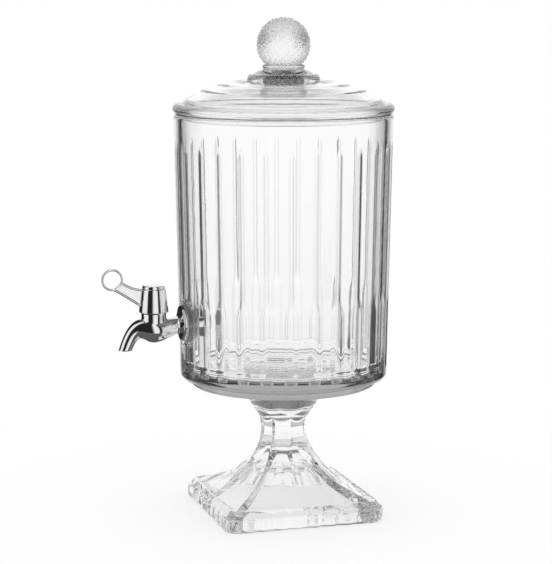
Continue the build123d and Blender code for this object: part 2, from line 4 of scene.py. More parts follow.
import bmesh
import bpy
import numpy as np
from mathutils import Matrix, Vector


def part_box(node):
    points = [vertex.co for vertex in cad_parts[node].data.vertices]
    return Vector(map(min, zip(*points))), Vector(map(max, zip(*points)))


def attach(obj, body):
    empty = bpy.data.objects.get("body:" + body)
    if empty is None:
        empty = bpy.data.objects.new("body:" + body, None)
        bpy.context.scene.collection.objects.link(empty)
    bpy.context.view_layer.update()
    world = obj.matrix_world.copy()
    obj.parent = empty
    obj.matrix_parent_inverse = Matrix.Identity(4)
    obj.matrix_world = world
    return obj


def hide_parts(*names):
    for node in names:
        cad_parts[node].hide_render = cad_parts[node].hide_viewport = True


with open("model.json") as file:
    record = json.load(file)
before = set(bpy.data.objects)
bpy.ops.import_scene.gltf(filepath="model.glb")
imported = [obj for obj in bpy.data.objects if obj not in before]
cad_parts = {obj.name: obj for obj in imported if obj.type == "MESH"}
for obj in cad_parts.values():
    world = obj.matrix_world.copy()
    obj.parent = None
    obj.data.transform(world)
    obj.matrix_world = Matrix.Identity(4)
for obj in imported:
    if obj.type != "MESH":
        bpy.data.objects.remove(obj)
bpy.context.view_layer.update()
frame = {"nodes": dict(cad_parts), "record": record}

# Shapes are drawn in millimetres, in the CAD frame, and scaled to metres as their meshes are made.
MM = 0.001


def node_box(node):
    """Lowest and highest corner of a CAD node, in millimetres."""
    low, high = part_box(node)
    return np.array(low) / MM, np.array(high) / MM


tank_low, tank_high = node_box("tank")
lid_low, lid_high = node_box("lid")
knob_low, knob_high = node_box("lid_knob")
foot_high = node_box("pedestal")[1]

# Radius of a shell's first and last ring, around the points that close it
axis_gap = 1.0


# Meshes
def make_piece(name, points, faces, material, body, nodes, sharp_angle=40):
    """Make a smooth-shaded mesh from points in millimetres, riding on a body in place of CAD nodes."""
    mesh = bpy.data.meshes.new(name)
    mesh.from_pydata((np.asarray(points) * MM).tolist(), [], faces)
    mesh.shade_smooth()
    mesh.set_sharp_from_angle(angle=math.radians(sharp_angle))
    mesh.materials.append(material)
    piece = bpy.data.objects.new(name, mesh)
    bpy.context.scene.collection.objects.link(piece)
    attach(piece, body)
    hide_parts(*nodes)
    return piece


def band(rings, wrapped=False):
    """Points and faces of stacked rings of equal length; wrapped, the last ring joins the first."""
    rings = np.asarray(rings)
    count, width = rings.shape[:2]
    faces = []
    for row in range(count if wrapped else count - 1):
        above = (row + 1) % count
        for column in range(width):
            beside = (column + 1) % width
            faces.append((
                row * width + column,
                row * width + beside,
                above * width + beside,
                above * width + column,
            ))
    return rings.reshape(-1, 3), faces


def shell(rings):
    """Points and faces of a closed shell: a band of rings, closed by a point at each end."""
    points, faces = band(rings)
    count, width = np.shape(rings)[:2]
    points = np.concatenate([points, [np.mean(rings[0], axis=0)], [np.mean(rings[-1], axis=0)]])
    start, end = count * width, count * width + 1
    last = (count - 1) * width
    for column in range(width):
        beside = (column + 1) % width
        faces.append((start, beside, column))
        faces.append((end, last + column, last + beside))
    return points, faces


def full_turn(columns):
    """Evenly spaced turns for the columns of a ring, in radians from +X."""
    return np.linspace(0, 2 * math.pi, columns, endpoint=False)


def rows(*spans):
    """Heights of one or more spans of (first, limit, step), in that order."""
    return np.concatenate([np.arange(*span) for span in spans])


def ring(radius, height, turn):
    """One ring of points at a height; radius and turn (radians from +X) are arrays or numbers."""
    turn = np.asarray(turn)
    radius = np.broadcast_to(radius, turn.shape)
    height = np.broadcast_to(height, turn.shape)
    return np.stack([radius * np.cos(turn), radius * np.sin(turn), height], axis=-1)


def lathe(path, turns):
    """Rings of a path of (radius, height) turned round the axis."""
    return [ring(radius, height, turns) for radius, height in path]


def rounded_path(corners, steps=8):
    """Points along a line of corners (radius, height, rounding), with an arc at each rounded corner."""
    path = []
    for index, (x, y, rounding) in enumerate(corners):
        here = np.array((x, y), float)
        if rounding == 0:
            path.append(here)
            continue
        before = np.array(corners[index - 1][:2]) - here
        after = np.array(corners[(index + 1) % len(corners)][:2]) - here
        before /= np.linalg.norm(before)
        after /= np.linalg.norm(after)
        half_angle = math.acos(np.clip(before @ after, -1, 1)) / 2
        middle = (before + after) / np.linalg.norm(before + after)
        centre = here + middle * rounding / math.sin(half_angle)
        start = here + before * rounding / math.tan(half_angle) - centre
        end = here + after * rounding / math.tan(half_angle) - centre
        sweep = math.pi - 2 * half_angle
        for step in range(steps + 1):
            share = step / steps
            blend = math.sin((1 - share) * sweep) * start + math.sin(share * sweep) * end
            path.append(centre + blend / math.sin(sweep))
    return path


def ease(low, high, value):
    """Smooth step from 0 at low to 1 at high."""
    share = np.clip((np.asarray(value, float) - low) / (high - low), 0, 1)
    return share * share * (3 - 2 * share)


def soft_higher(first, second, rounding):
    """The higher of two values, rounded where they cross."""
    overlap = np.maximum(rounding - np.abs(first - second), 0) / rounding
    return np.maximum(first, second) + overlap * overlap * rounding / 4


def through(table, height):
    """Smooth curve through rows of (height, value, ...), read at a height; one result for each value."""
    table = np.array(table, float)
    levels = table[:, 0]
    index = np.clip(np.searchsorted(levels, height) - 1, 0, len(levels) - 2)
    span = levels[index + 1] - levels[index]
    share = (height - levels[index]) / span
    results = []
    for values in table[:, 1:].T:
        slopes = np.gradient(values, levels)
        results.append(
            (2 * share**3 - 3 * share**2 + 1) * values[index]
            + (share**3 - 2 * share**2 + share) * span * slopes[index]
            + (3 * share**2 - 2 * share**3) * values[index + 1]
            + (share**3 - share**2) * span * slopes[index + 1]
        )
    return results


# Materials
# How strongly glass takes light away, per metre, in the tank and lid and in the clearer foot and knob,
# and the index by which glass and adhesive bend it
glass_absorption = 6.0
clearer_absorption = 3.5
glass_index = 1.5
bond_index = 1.48

# Part of the noise's range over which one tone turns into the other
tone_start = 0.3
tone_end = 0.7


def new_material(name):
    """A material with a Principled shader; gives the material, its node tree and the shader."""
    material = bpy.data.materials.new(name)
    material.use_nodes = True
    tree = material.node_tree
    return material, tree, tree.nodes["Principled BSDF"]


def noise_texture(tree, scale, detail=3.0, stretch=(1, 1, 1)):
    """Noise in object space; gives its value socket."""
    place = tree.nodes.new("ShaderNodeTexCoord")
    mapping = tree.nodes.new("ShaderNodeMapping")
    mapping.inputs["Scale"].default_value = stretch
    noise = tree.nodes.new("ShaderNodeTexNoise")
    noise.inputs["Scale"].default_value = scale
    noise.inputs["Detail"].default_value = detail
    tree.links.new(place.outputs["Object"], mapping.inputs["Vector"])
    tree.links.new(mapping.outputs["Vector"], noise.inputs["Vector"])
    return noise.outputs["Fac"]


def between(tree, value, low, high, span=(0.0, 1.0)):
    """Map a socket's span onto low to high."""
    spread = tree.nodes.new("ShaderNodeMapRange")
    spread.inputs["From Min"].default_value = span[0]
    spread.inputs["From Max"].default_value = span[1]
    spread.inputs["To Min"].default_value = low
    spread.inputs["To Max"].default_value = high
    tree.links.new(value, spread.inputs["Value"])
    return spread.outputs["Result"]


def two_tones(tree, value, low, high):
    """Map a 0 to 1 socket onto two colours."""
    ramp = tree.nodes.new("ShaderNodeValToRGB")
    first, second = ramp.color_ramp.elements
    first.position = tone_start
    first.color = (*low, 1)
    second.position = tone_end
    second.color = (*high, 1)
    tree.links.new(value, ramp.inputs["Fac"])
    return ramp.outputs["Color"]


def bump(tree, value, distance, shader):
    """Raise the surface by a socket's value times a distance in metres."""
    relief = tree.nodes.new("ShaderNodeBump")
    relief.inputs["Distance"].default_value = distance
    tree.links.new(value, relief.inputs["Height"])
    tree.links.new(relief.outputs["Normal"], shader.inputs["Normal"])


def glass_material(name, absorption):
    """Clear pressed glass with a faint waviness from the mould; thick parts look darker than thin ones."""
    material, tree, shader = new_material(name)
    shader.inputs["Transmission Weight"].default_value = 1.0
    shader.inputs["Roughness"].default_value = 0.0
    shader.inputs["IOR"].default_value = glass_index
    waves = noise_texture(tree, scale=45.0, detail=2.0)
    tone = two_tones(tree, waves, low=(0.975, 0.98, 0.98), high=(0.99, 0.99, 0.99))
    tree.links.new(tone, shader.inputs["Base Color"])
    bump(tree, waves, distance=0.00006, shader=shader)
    depth = tree.nodes.new("ShaderNodeVolumeAbsorption")
    depth.inputs["Color"].default_value = (0, 0, 0, 1)
    depth.inputs["Density"].default_value = absorption
    tree.links.new(depth.outputs["Volume"], tree.nodes["Material Output"].inputs["Volume"])
    return material


def painted_dark_band_material():
    """Ground glass where the knob's stem is worked, blurred by its grain; its near-black tone is painted
    shade, standing in for the dark surroundings that the band reflects.
    """
    material, tree, shader = new_material("ground_glass_painted_dark")
    shader.inputs["Transmission Weight"].default_value = 1.0
    shader.inputs["IOR"].default_value = glass_index
    grain = noise_texture(tree, scale=500.0)
    # Near-black tones: painted shade in place of the dark surroundings that the band reflects
    tone = two_tones(tree, grain, low=(0.005, 0.005, 0.005), high=(0.15, 0.15, 0.15))
    tree.links.new(tone, shader.inputs["Base Color"])
    tree.links.new(between(tree, grain, low=0.1, high=0.3), shader.inputs["Roughness"])
    return material


def bond_material():
    """Clear cured adhesive."""
    material, tree, shader = new_material("clear_bond")
    shader.inputs["Transmission Weight"].default_value = 1.0
    shader.inputs["Roughness"].default_value = 0.0
    shader.inputs["IOR"].default_value = bond_index
    cells = noise_texture(tree, scale=160.0)
    tone = two_tones(tree, cells, low=(0.96, 0.97, 0.97), high=(0.99, 0.99, 0.99))
    tree.links.new(tone, shader.inputs["Base Color"])
    return material


def grained_material(name, tones, roughness, scale, relief, stretch=(1, 1, 1)):
    """Material whose tone, roughness and relief vary with a fine grain; gives it and its shader."""
    material, tree, shader = new_material(name)
    grain = noise_texture(tree, scale, detail=4.0, stretch=stretch)
    tree.links.new(two_tones(tree, grain, *tones), shader.inputs["Base Color"])
    tree.links.new(between(tree, grain, *roughness), shader.inputs["Roughness"])
    bump(tree, grain, relief, shader)
    return material, shader


def metal_material(name, tones, roughness, scale, relief, stretch=(1, 1, 1)):
    """Metal, plated, brushed or turned."""
    material, shader = grained_material(name, tones, roughness, scale, relief, stretch)
    shader.inputs["Metallic"].default_value = 1.0
    return material


def soft_material(name, tones, roughness, relief, see_through=0.0):
    """Rubber or plastic with a fine moulded grain."""
    material, shader = grained_material(name, tones, roughness, scale=900.0, relief=relief)
    shader.inputs["Transmission Weight"].default_value = see_through
    return material


slot_materials = {
    "glass": glass_material("clear_glass", glass_absorption),
    "bond": bond_material(),
    "chrome": metal_material(
        "chrome_plate",
        tones=((0.80, 0.80, 0.81), (0.86, 0.86, 0.87)),
        roughness=(0.015, 0.05),
        scale=220.0,
        relief=0.000004,
    ),
    "steel": metal_material(
        "plain_steel",
        tones=((0.56, 0.57, 0.58), (0.68, 0.69, 0.70)),
        roughness=(0.2, 0.38),
        scale=300.0,
        relief=0.00001,
        stretch=(1, 12, 1),
    ),
    "brass": metal_material(
        "turned_brass",
        tones=((0.66, 0.50, 0.25), (0.78, 0.62, 0.34)),
        roughness=(0.18, 0.36),
        scale=300.0,
        relief=0.00001,
        stretch=(1, 1, 12),
    ),
    "silicone": soft_material(
        "grey_silicone",
        tones=((0.66, 0.67, 0.68), (0.76, 0.77, 0.78)),
        roughness=(0.35, 0.55),
        relief=0.00002,
        see_through=0.45,
    ),
    "seal": soft_material(
        "black_rubber",
        tones=((0.03, 0.03, 0.03), (0.06, 0.06, 0.06)),
        roughness=(0.5, 0.7),
        relief=0.00003,
    ),
    "white_plastic": soft_material(
        "white_plastic",
        tones=((0.84, 0.84, 0.82), (0.92, 0.92, 0.90)),
        roughness=(0.3, 0.45),
        relief=0.00001,
    ),
}
glass = slot_materials["glass"]
clearer_glass = glass_material("clearer_glass", clearer_absorption)

for subpart in frame["record"]["subparts"]:
    node_mesh = frame["nodes"][subpart["node"]].data
    node_mesh.materials.clear()
    node_mesh.materials.append(slot_materials[subpart["material_slot"]])


# Tank
# Wall, from its bottom edge to the rim, and the narrower disc under it, quite flat out to disc_flat
underside = tank_low[2]
rim_height = tank_high[2]
rim_radius = tank_high[0]
rim_edge = 2.4
rim_depth = 5.0
wall_thickness = 6.2
wall_bottom = underside + 5.5
wall_bottom_radius = rim_radius - 4.4
wall_bottom_edge = 4.0
disc_radius = 75.5
disc_edge = 2.0
disc_flat = 36.0
step_start = disc_radius + 0.6

# Floor inside, with faint ripples in it and in the fillet around it
floor_height = underside + 14.5
floor_fillet = 9.0
fillet_steps = 42
fillet_ripple = 0.2
fillet_ripples = 3
floor_ring_step = 0.5
floor_ripple = 0.12
floor_ripple_pitch = 9.0
floor_ripple_fade = 8.0

# Flutes: a pointed tip, a narrow neck, a shoulder, and a broad lower part with a round foot
flute_count = 28
flute_tip = 304.0
flute_neck_top = 296.0
flute_shoulder_top = 187.0
flute_shoulder_bottom = 171.0
flute_bottom = 120.0
flute_half_width = 6.7
flute_depth = 1.9
neck_half_width = 2.7
neck_depth = 1.0
tip_power = 1.6
least_half_width = 0.01

# Columns of the wall: shares of a flute's half width, and shares of the land between two flutes
flute_places = np.array((0.25, 0.5, 0.7, 0.85, 0.95, 1.0))
land_places = np.array((0.05, 0.2, 0.4, 0.6, 0.8, 0.95))

# Rows of the wall, close together where its shape changes: up the outside, and down the inside
outside_rows = rows(
    (118.0, 128.0, 0.4),
    (128.0, 190.0, 1.0),
    (192.0, flute_neck_top, 6.0),
    (flute_neck_top, flute_tip + 1.0, 0.8),
    (flute_tip + 2.0, rim_height - rim_edge - 1.0, 5.0),
)
inside_rows = rows(
    (310.0, 184.0, -12.0),
    (182.0, 136.0, -1.0),
)

# Seat of the tap: a round patch without flutes, a flat spot face outside, a flat pad inside, and the hole
tap_height = 159.5
patch_radius = 19.0
patch_edge = 0.6
spot_face = 82.8
spot_face_radius = 15.4
spot_face_edge = 0.5
pad_face = 76.8
pad_radius = 17.0
pad_edge = 0.6
least_facing = 0.5
far_away = 1000.0
tap_hole_radius = 8.25
tap_hole_sides = 64
tap_hole_margin = 3.0


def wall_radius(height):
    """Outside radius of the plain wall."""
    share = (np.asarray(height, float) - wall_bottom) / (rim_height - wall_bottom)
    return wall_bottom_radius + share * (rim_radius - wall_bottom_radius)


def inner_radius(height):
    """Inside radius of the wall."""
    return wall_radius(height) - wall_thickness


def broad_share(height):
    """1 in the broad lower part of the flutes, 0 in their neck."""
    return 1 - ease(flute_shoulder_bottom, flute_shoulder_top, height)


def full_half_width(height):
    """Half width of a flute, before its ends narrow it."""
    return neck_half_width + broad_share(height) * (flute_half_width - neck_half_width)


def flute_size(height):
    """Half width and depth of a flute at a height."""
    depth = neck_depth + broad_share(height) * (flute_depth - neck_depth)
    run_out = np.clip((height - flute_neck_top) / (flute_tip - flute_neck_top), 0, 1)
    run_in = np.clip((flute_bottom + flute_half_width - height) / flute_half_width, 0, 1)
    narrowing = (1 - run_out**tip_power) * np.sqrt(1 - run_in**2)
    return full_half_width(height) * narrowing, depth * narrowing


def fluted_radius(offset, height):
    """Outside radius of the wall at an angle from a flute's centre line."""
    plain = wall_radius(height)
    half_width, depth = flute_size(height)
    across = np.clip(plain * offset / np.maximum(half_width, least_half_width), -1, 1)
    return plain - depth * (0.5 + 0.5 * np.cos(math.pi * across))


def flute_columns(height):
    """Angles of the wall's columns from +X, and their offsets from the nearest flute's centre line."""
    across = np.concatenate([-flute_places[::-1], [0], flute_places])
    pitch = 2 * math.pi / flute_count
    edge = full_half_width(height) / wall_radius(height)
    offsets = np.concatenate([across * edge, edge + land_places * (pitch - 2 * edge)])
    turns = (np.arange(flute_count)[:, None] * pitch + offsets[None, :]).ravel() - math.pi / 2
    nearest = np.where(offsets > pitch / 2, offsets - pitch, offsets)
    return turns, np.tile(nearest, flute_count)


def from_tap(radius, turns, height):
    """How squarely points of a wall face the tap, 1 straight on, and how far they are from its axis;
    points on the other side of the tank count as far away."""
    facing = np.cos(turns + math.pi / 2)
    aside = radius * np.sin(turns + math.pi / 2)
    return facing, np.where(facing > 0, np.hypot(aside, height - tap_height), far_away)


def fill_flutes(radius, turns, height):
    """Fill the flutes in a round patch around the tap."""
    _, away = from_tap(radius, turns, height)
    inside = 1 - ease(patch_radius - patch_edge, patch_radius + patch_edge, away)
    return radius + inside * (wall_radius(height) - radius)


def tap_seat(radius, turns, height, plane, reach, edge):
    """Flatten a wall's radius to an upright plane facing the tap, inside a circle on the tap's axis."""
    facing, away = from_tap(radius, turns, height)
    inside = 1 - ease(reach, reach + edge, away)
    flat = plane / np.maximum(facing, least_facing)
    return radius + inside * (flat - radius)


def underside_rings():
    """Disc under the tank, and the step out to the wall's rounded bottom edge."""
    turns, offsets = flute_columns(wall_bottom)
    disc = rounded_path([
        (axis_gap, underside, 0),
        (disc_flat, underside, 0),
        (disc_radius, underside, disc_edge),
        (disc_radius, wall_bottom, 0),
    ])
    step = rounded_path([
        (step_start, wall_bottom, 0),
        (wall_bottom_radius, wall_bottom, wall_bottom_edge),
        (rim_radius, rim_height, 0),
    ])
    rings = lathe(disc, turns)
    for radius, height in step[:-1]:
        rings.append(ring(np.minimum(radius, fluted_radius(offsets, height)), height, turns))
    return rings


def outside_rings():
    """Fluted outside of the wall, with the tap's patch and spot face."""
    rings = []
    for height in outside_rows:
        turns, offsets = flute_columns(height)
        patched = fill_flutes(fluted_radius(offsets, height), turns, height)
        seated = tap_seat(patched, turns, height, spot_face, spot_face_radius, spot_face_edge)
        rings.append(ring(seated, height, turns))
    return rings


def rim_rings():
    """Rounded rim, from the outside over to the inside."""
    inner_end = rim_height - rim_depth
    turns, _ = flute_columns(inner_end)
    path = rounded_path([
        (wall_bottom_radius, wall_bottom, 0),
        (rim_radius, rim_height, rim_edge),
        (inner_radius(rim_height), rim_height, rim_edge),
        (inner_radius(inner_end), inner_end, 0),
    ])
    return lathe(path[1:], turns)


def inside_rings():
    """Plain inside of the wall, with the tap's pad."""
    rings = []
    for height in inside_rows:
        turns, _ = flute_columns(height)
        plain = np.full_like(turns, inner_radius(height))
        padded = tap_seat(plain, turns, height, pad_face, pad_radius, pad_edge)
        rings.append(ring(padded, height, turns))
    return rings


def floor_rings():
    """Fillet inside the bottom of the wall and the floor, both rippled."""
    turns, _ = flute_columns(wall_bottom)
    path = rounded_path([
        (inner_radius(rim_height), rim_height, 0),
        (inner_radius(floor_height), floor_height, floor_fillet),
        (axis_gap, floor_height, 0),
    ], steps=fillet_steps)
    fillet = path[1:-1]
    rings = []
    for share, (radius, height) in zip(np.linspace(0, 1, len(fillet)), fillet):
        swell = fillet_ripple * math.sin(math.pi * share) * math.sin(2 * math.pi * fillet_ripples * share)
        angle = share * math.pi / 2
        rings.append(ring(radius + swell * math.cos(angle), height - swell * math.sin(angle), turns))
    floor_radius = fillet[-1][0]
    for radius in np.arange(floor_radius - floor_ring_step, axis_gap, -floor_ring_step):
        ripple = floor_ripple * ease(0, floor_ripple_fade, floor_radius - radius)
        lift = ripple * math.sin(2 * math.pi * radius / floor_ripple_pitch)
        rings.append(ring(radius, floor_height + lift, turns))
    return rings


def tank_piece():
    """Fluted tank with its floor, stepped underside, rim and tap seat."""
    rings = underside_rings() + outside_rings() + rim_rings() + inside_rings() + floor_rings()
    points, faces = shell(rings)
    return make_piece("glass_tank", points, faces, glass, "vessel", ["tank"])


def cut_hole(piece, radius, start, end):
    """Cut a round hole along Y at the tap's height, between two places on Y."""
    cutter_mesh = bpy.data.meshes.new("hole_cutter")
    work = bmesh.new()
    bmesh.ops.create_cone(
        work, cap_ends=True, segments=tap_hole_sides, radius1=radius * MM, radius2=radius * MM,
        depth=abs(end - start) * MM)
    work.to_mesh(cutter_mesh)
    work.free()
    cutter = bpy.data.objects.new("hole_cutter", cutter_mesh)
    cutter.rotation_euler = (math.pi / 2, 0, 0)
    cutter.location = (0, (start + end) / 2 * MM, tap_height * MM)
    bpy.context.scene.collection.objects.link(cutter)
    modifier = piece.modifiers.new("hole", "BOOLEAN")
    modifier.object = cutter
    modifier.operation = "DIFFERENCE"
    modifier.solver = "EXACT"
    bpy.context.view_layer.update()
    evaluated = piece.evaluated_get(bpy.context.evaluated_depsgraph_get())
    cut_mesh = bpy.data.meshes.new_from_object(evaluated)
    piece.modifiers.clear()
    piece.data = cut_mesh
    bpy.data.objects.remove(cutter)


tank_object = tank_piece()
cut_hole(tank_object, tap_hole_radius, -spot_face - tap_hole_margin, -pad_face + tap_hole_margin)


# Lid
lid_columns = 256
lid_steps = 7
lid_radius = min(lid_high[0], -lid_low[0])
lid_top = lid_high[2]
lid_rim_top = rim_height + 7.8
lid_rim_rounding = 3.85

# Corners of its profile (radius, height, rounding), from the axis over the outside and back along the inside
lid_profile = (
    # Socket for the knob's stem
    (axis_gap, 343.8, 0),
    (17.1, 343.8, 0.4),
    (17.1, lid_top, 0.4),
    # Collar around the socket, with a thin gap under its edge
    (18.2, lid_top, 0.4),
    (24.5, 357.4, 2.0),
    (29.2, 357.3, 4.0),
    (29.2, 349.3, 3.0),
    (26.0, 349.3, 0),
    (26.0, 349.0, 0),
    # Dome
    (33.0, 349.0, 1.0),
    (43.0, 350.8, 6.0),
    (55.0, 349.3, 40.0),
    (66.7, 344.3, 40.0),
    (80.0, 336.2, 1.2),
    # Rim, which stands on the tank's rim
    (81.6, lid_rim_top, 1.0),
    (lid_radius, lid_rim_top, lid_rim_rounding),
    (lid_radius, rim_height, lid_rim_rounding),
    (80.4, rim_height, 0.8),
    # Skirt inside the tank
    (80.4, 321.0, 1.2),
    (76.8, 321.0, 1.2),
    (76.8, 334.2, 3.0),
    # Inside of the dome
    (65.2, 341.0, 20.0),
    (54.0, 345.6, 30.0),
    (43.0, 347.0, 10.0),
    # Underside of the socket
    (19.2, 346.4, 1.5),
    (19.2, 340.6, 1.5),
    (axis_gap, 340.6, 0),
)


def lid_piece():
    """Domed lid with a rounded rim, a skirt below and a raised collar with a socket for the knob."""
    path = rounded_path(lid_profile, steps=lid_steps)
    points, faces = shell(lathe(path[::-1], full_turn(lid_columns)))
    return make_piece("glass_lid", points, faces, glass, "lid_set", ["lid"])


lid_object = lid_piece()


# Knob: a ball of small round pebbles, a neck ring, and a stem with a band of diamonds in the lid's collar
knob_columns = 400
knob_bottom = knob_low[2]
knob_stem_radius = 17.0
knob_stem_edge = 0.8

# Band of diamonds, ground into the stem
band_bottom = 351.2
band_top = 354.8
band_row_step = 0.2
band_diamonds = 18
band_depth = 1.2
band_fade = 0.12

# Ball, with rings up to a small angle from its pole (radians), and with its core sunk so far that the
# highest pebble stays inside its radius
ball_radius = 22.0
ball_centre = knob_high[2] - ball_radius
ball_start = 364.9
ball_rows = 180
ball_pole = 0.02
pebble_seed = 5
pebble_count = 380
pebble_reach = 1.5
pebble_scatter = 0.3
pebble_heights = (0.6, 1.05)
pebble_sink = 0.05
pebble_fade = 0.12
core_radius = ball_radius - pebble_heights[1] - pebble_sink

# Neck ring between the stem and the ball: corners (radius, height, rounding)
neck_profile = (
    (knob_stem_radius, band_top + 0.3, 0),
    (knob_stem_radius, 360.8, 0.8),
    (15.6, 361.2, 0.4),
    (knob_stem_radius, 362.0, 0.8),
    (knob_stem_radius, 364.2, 0.8),
    (15.3, ball_start, 0),
)


def spiral(count):
    """Evenly spread turns and heights (0 to 1) along a spiral."""
    index = np.arange(count) + 0.5
    return math.pi * (1 + math.sqrt(5)) * index, index / count


def pebbles(points, spots, heights):
    """Height of the pebbled surface at each point, from round pebbles centred on spots."""
    away = np.linalg.norm(points[:, None, :] - spots[None, :, :], axis=2) / pebble_reach
    return (np.exp(-away**2) * heights).sum(axis=1)


def diamond_depth(turns, height):
    """Depth of the crossing grooves that make the band's diamonds."""
    across = turns * band_diamonds / (2 * math.pi)
    along = (height - band_bottom) / (band_top - band_bottom)
    ends = ease(0, band_fade, along) * ease(0, band_fade, 1 - along)
    first = np.abs((across + along) % 1 - 0.5)
    second = np.abs((across - along) % 1 - 0.5)
    return band_depth * ends * 2 * np.maximum(first, second)


def ball_rings(turns):
    """Ball from the neck to its top, raised into pebbles that are spread a little unevenly."""
    spread = np.random.default_rng(pebble_seed)
    spot_turns, share = spiral(pebble_count)
    spot_heights = 1 - 2 * share
    spots = ball_radius * ring(np.sqrt(1 - spot_heights**2), spot_heights, spot_turns)
    spots += spread.normal(0, pebble_scatter, spots.shape)
    heights = spread.uniform(*pebble_heights, pebble_count)
    start_angle = math.acos((ball_start - ball_centre) / core_radius)
    rings = []
    for polar in np.linspace(start_angle, ball_pole, ball_rows):
        direction = ring(math.sin(polar), math.cos(polar), turns)
        fade = ease(0, pebble_fade, start_angle - polar)
        raised = core_radius + fade * pebbles(ball_radius * direction, spots, heights)
        rings.append(raised[:, None] * direction + np.array((0, 0, ball_centre)))
    return rings


def knob_piece():
    """Pebbled glass ball with a neck ring, on a stem that stands in the lid's collar."""
    turns = full_turn(knob_columns)
    stem = lathe([
        (axis_gap, knob_bottom),
        (knob_stem_radius - knob_stem_edge, knob_bottom),
        (knob_stem_radius, knob_bottom + knob_stem_edge),
    ], turns)
    ground = []
    for height in np.arange(band_bottom, band_top + band_row_step / 2, band_row_step):
        ground.append(ring(knob_stem_radius - diamond_depth(turns, height), height, turns))
    neck = lathe(rounded_path(neck_profile), turns)
    points, faces = shell(stem + ground + neck + ball_rings(turns))
    piece = make_piece("glass_knob", points, faces, clearer_glass, "lid_set", ["lid_knob"], sharp_angle=80)
    # The band of diamonds takes the ground glass, whose near-black tone is painted shade
    piece.data.materials.append(painted_dark_band_material())
    first_painted_dark_face = len(stem) * knob_columns
    past_painted_dark_face = (len(stem) + len(ground) - 1) * knob_columns
    for face in piece.data.polygons[first_painted_dark_face:past_painted_dark_face]:
        face.material_index = 1
    return piece


knob_object = knob_piece()


# Foot
foot_columns = 544
foot_half = foot_high[0]
foot_corner = 13.0

# Collar: a disc with a rounded edge over a cone; the edge's arc runs towards the aim (radius, height)
collar_top = foot_high[2]
collar_radius = 37.5
collar_top_rounding = 0.3
collar_edge = collar_top - 1.6
collar_edge_rounding = 1.5
collar_aim = (24.0, 84.0)
cone_bottom = 74.0
cone_bottom_radius = 16.4
cone_blend = 0.8

# Scalloped groove around the cone
groove_height = 88.0
groove_scallop = 1.3
groove_depth = 1.6
groove_width = 1.3

# Pyramid and stem: height, radius at a side's middle, radius at a corner
stem_table = (
    (15.5, 61.0, 79.5),
    (20.0, 54.0, 68.0),
    (26.0, 46.0, 53.0),
    (33.0, 39.5, 42.5),
    (42.0, 30.2, 31.2),
    (52.0, 23.4, 23.9),
    (61.0, 20.0, 20.2),
    (69.0, 19.0, 19.0),
    (77.0, 19.9, 19.9),
    (85.0, 21.6, 21.6),
)
stem_top = stem_table[-1][0]
stem_rows = rows((102.0, 15.5, -0.8))

# Leaf-shaped hollows on the pyramid, with their half width in radians, and the heights between which they
# widen, narrow again, deepen and run out
leaf_count = 16
leaf_half_width = 0.13
leaf_widens = (19.5, 33.0)
leaf_narrows = (36.0, 44.0)
leaf_narrowing = 0.35
leaf_depth = 1.3
leaf_deepens = (20.0, 30.0)
leaf_ends = (37.5, 41.0)
least_leaf = 0.001

# Shoulder and edge below the pyramid: height, and how far the outline stands in from the foot's sides
shoulder_half = 61.1
shoulder_corner = 9.0
shoulder_rows = ((16.6, 5.4), (15.0, 4.1), (13.2, 3.1))
edge_rows = (
    (12.0, 1.0), (11.2, 0.45), (10.0, 0.15), (8.0, 0.0), (6.0, 0.0), (4.0, 0.2),
    (3.0, 0.45), (2.0, 0.85), (1.2, 1.3), (0.5, 1.9), (0.0, 2.6),
)

# Wave along the sides, up to a notch before the block at each corner
wave_pitch = 14.4
wave_depth = 1.5
block_start = 54.0
block_edge = 1.0
notch_width = 0.7
notch_depth = 1.0

# Hollow under the foot, in the form of the stem's table, and its rounded top (radius, height)
hollow_table = (
    (-1.0, 57.5, 75.0),
    (6.0, 53.0, 67.0),
    (15.0, 41.5, 48.5),
    (24.0, 32.5, 35.5),
    (34.0, 23.8, 24.6),
    (43.0, 16.0, 16.2),
    (49.0, 9.0, 9.0),
)
hollow_rows = rows(
    (0.0, 6.0, 1.0),
    (6.0, 48.0, 1.5),
)
hollow_top = ((9.0, 48.6), (6.0, 49.0))


def eight_sided(turns, middle, corner):
    """Radius of an eight-sided outline with its corners at the sides' middles and the diagonals."""
    eighth = math.pi / 4
    rounding_error = 1e-9
    step = np.floor(turns / eighth + rounding_error)
    along = turns - step * eighth
    odd = step.astype(int) % 2 == 1
    first = np.where(odd, corner, middle)
    second = np.where(odd, middle, corner)
    return first * second * math.sin(eighth) / (
        first * np.sin(along) + second * np.sin(eighth - along))


def rounded_square(turns, half, corner):
    """Radius of a square outline with rounded corners."""
    x = np.abs(np.cos(turns))
    y = np.abs(np.sin(turns))
    longer, shorter = np.maximum(x, y), np.minimum(x, y)
    straight = half / longer
    inner = half - corner
    dot = inner * (x + y)
    arc = dot + np.sqrt(np.maximum(dot**2 - (2 * inner**2 - corner**2), 0))
    return np.where(straight * shorter > inner, arc, straight)


def wave_inset(turns):
    """Depth of the gentle wave along the foot's sides, none at the corner blocks."""
    along = foot_half * np.tan((turns + math.pi / 4) % (math.pi / 2) - math.pi / 4)
    dip = 0.5 + 0.5 * np.cos(2 * math.pi * along / wave_pitch)
    block = ease(block_start, block_start + block_edge, np.abs(along))
    notch = np.exp(-((np.abs(along) - block_start) / notch_width) ** 2)
    return wave_depth * dip * (1 - block) + notch_depth * notch


